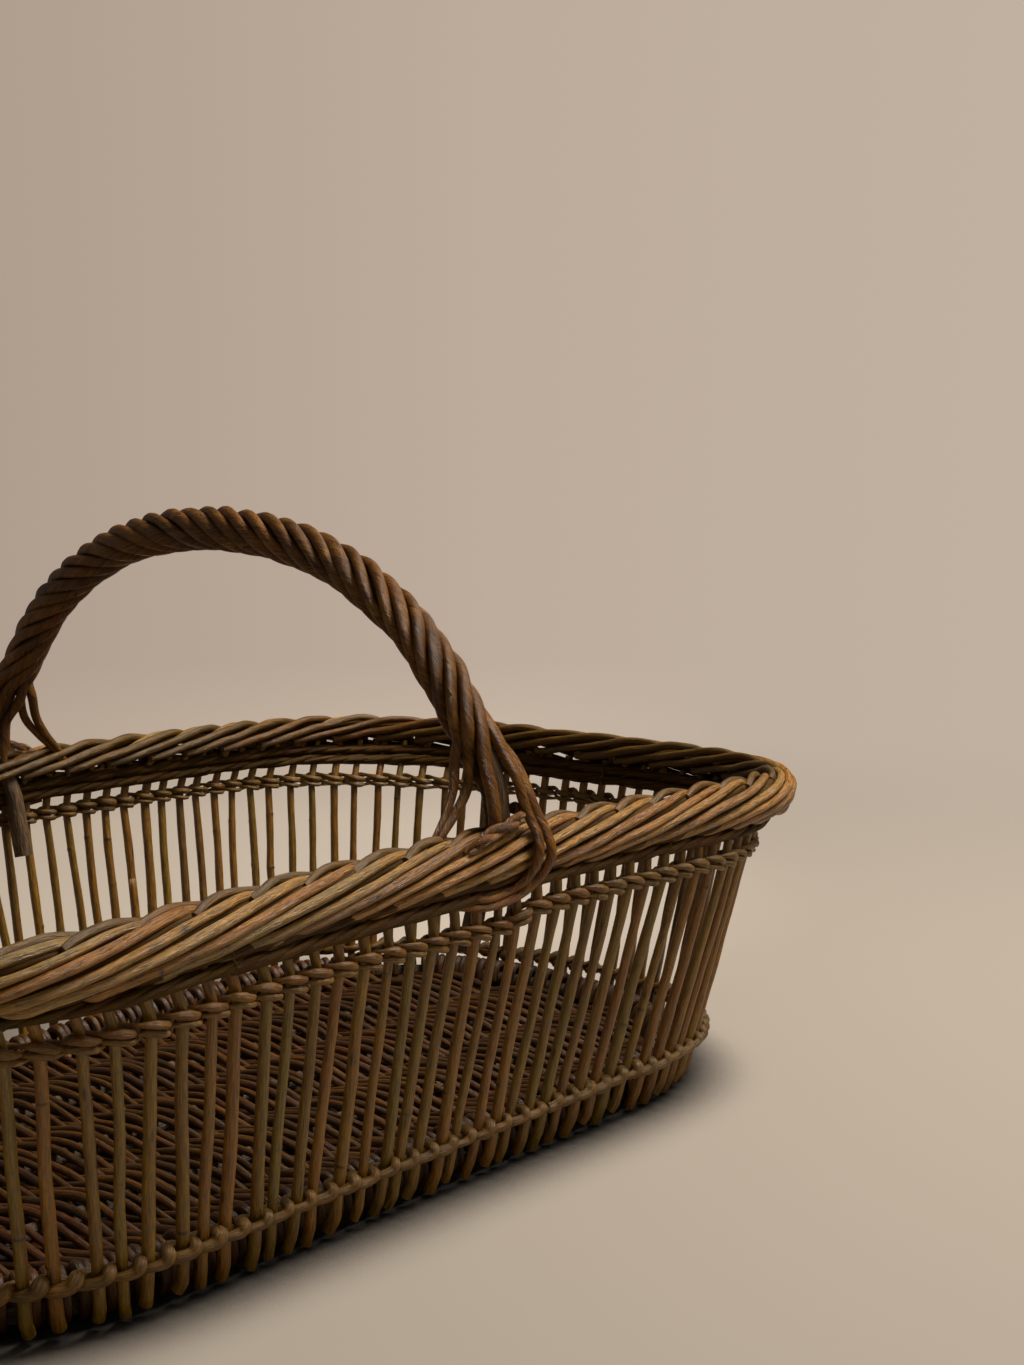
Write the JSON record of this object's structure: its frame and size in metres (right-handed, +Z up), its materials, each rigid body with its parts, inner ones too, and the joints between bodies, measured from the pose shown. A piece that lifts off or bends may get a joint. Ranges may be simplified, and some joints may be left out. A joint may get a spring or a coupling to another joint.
{
  "type": "vegetable basket",
  "caption": "Oblong open-sided willow vegetable basket with woven base, staked walls, rolled border and a fixed roped bow handle.",
  "frame": {"origin": "middle of the base, on the surface the basket stands on", "axes": "+X along the basket, +Y across it in the plane of the bow handle, +Z up"},
  "size_m": [0.6714, 0.3966, 0.3187],
  "materials": {
    "base": "dark brown bark, satin",
    "heavy_sticks": "brown bark, satin",
    "stakes": "olive brown bark, satin",
    "fitches": "brown bark, satin",
    "wale": "dark brown bark, satin",
    "border": "tan brown bark, satin, worn to a soft gloss",
    "roping": "reddish brown bark, rubbed to a soft gloss"
  },
  "bodies": {
    "root": {"base_frame": "base", "base_mat_1": "base", "base_mat_2": "base", "base_mat_3": "base", "base_mat_4": "base", "base_stick_1": "heavy_sticks", "base_stick_2": "heavy_sticks", "base_stick_3": "heavy_sticks", "handle_core": "heavy_sticks", "stake_panel_01": "stakes", "stake_panel_02": "stakes", "stake_panel_03": "stakes", "stake_panel_04": "stakes", "stake_panel_05": "stakes", "stake_panel_06": "stakes", "stake_panel_07": "stakes", "stake_panel_08": "stakes", "stake_panel_09": "stakes", "stake_panel_10": "stakes", "stake_panel_11": "stakes", "stake_panel_12": "stakes", "lower_fitch_outer": "fitches", "lower_fitch_inner": "fitches", "upper_fitch_outer": "fitches", "upper_fitch_inner": "fitches", "wale_rod_1": "wale", "wale_rod_2": "wale", "border_roll": "border", "border_edge_rod": "border", "handle_rope_rod_1": "roping", "handle_rope_rod_2": "roping", "handle_rope_rod_3": "roping", "handle_rope_rod_4": "roping", "handle_rope_rod_5": "roping", "handle_rope_rod_6": "roping", "handle_rope_rod_7": "roping", "handle_lap_front": "roping", "handle_lap_far": "roping", "handle_tail_front": "roping", "handle_tail_far": "roping"}
  },
  "joints": []
}
